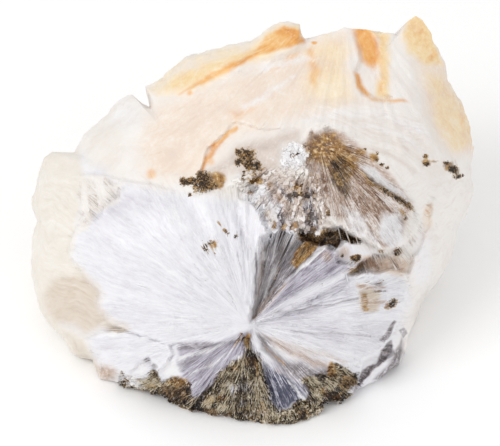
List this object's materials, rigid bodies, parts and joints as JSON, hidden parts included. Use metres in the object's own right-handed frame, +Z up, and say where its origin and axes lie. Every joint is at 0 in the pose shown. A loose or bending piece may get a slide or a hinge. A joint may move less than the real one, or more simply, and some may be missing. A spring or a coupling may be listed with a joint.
{
  "type": "raw thomsonite specimen",
  "caption": "Broken lump of fibrous zeolite mineral, with fans of white and lilac needle crystals on a face that leans back, a peach top and a brown crust at the foot.",
  "frame": {"origin": "middle of the stone's footprint box, at the level of the surface that it lies on", "axes": "+X to the viewer's right along the broken face, +Y away from the viewer, +Z up"},
  "size_m": [0.056, 0.044, 0.0365],
  "materials": {
    "thomsonite": "milky white and lilac needle crystal, silky on the broken fans, peach and cream towards the rim, with brown and black oxide stains"
  },
  "bodies": {
    "root": {"thomsonite_stone": "thomsonite"}
  },
  "joints": []
}
